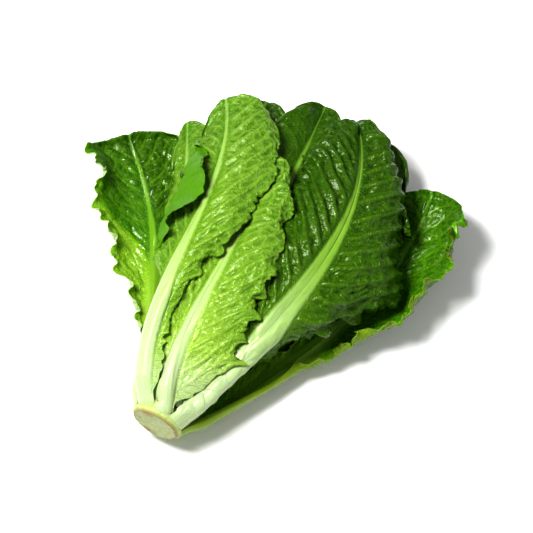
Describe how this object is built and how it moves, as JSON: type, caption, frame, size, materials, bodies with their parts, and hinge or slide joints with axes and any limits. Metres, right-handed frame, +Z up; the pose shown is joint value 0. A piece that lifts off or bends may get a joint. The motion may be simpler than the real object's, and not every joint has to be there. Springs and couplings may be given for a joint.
{
  "type": "romaine lettuce head",
  "caption": "Romaine lettuce head lying on its side, cut at the stem, with thick pale midribs and loose ruffled green leaves fanned out from the core.",
  "frame": {"origin": "centre of the whole head's box, on the surface that the head lies on", "axes": "+Z up from the surface, +Y from the cut stem towards the leaf tips, +X to the right of that, seen from above"},
  "size_m": [0.3056, 0.3022, 0.0894],
  "materials": {
    "stem": "satin",
    "leaf_outer": "satin",
    "leaf_inner": "satin",
    "leaf_heart": "satin"
  },
  "bodies": {
    "root": {"stem_core": "stem", "leaf_under_left": "leaf_outer", "leaf_under_right": "leaf_outer", "leaf_far_left": "leaf_outer", "leaf_far_right": "leaf_outer", "leaf_top_right": "leaf_outer", "leaf_top_middle": "leaf_outer", "leaf_top_left": "leaf_outer", "leaf_second_low_left": "leaf_inner", "leaf_second_low_right": "leaf_inner", "leaf_second_left": "leaf_inner", "leaf_second_right": "leaf_inner", "leaf_second_high_left": "leaf_inner", "leaf_second_high_right": "leaf_inner", "leaf_third_low": "leaf_inner", "leaf_third_left": "leaf_inner", "leaf_third_right": "leaf_inner", "leaf_third_high": "leaf_inner", "heart_leaf_low": "leaf_heart", "heart_leaf_high": "leaf_heart"}
  },
  "joints": []
}
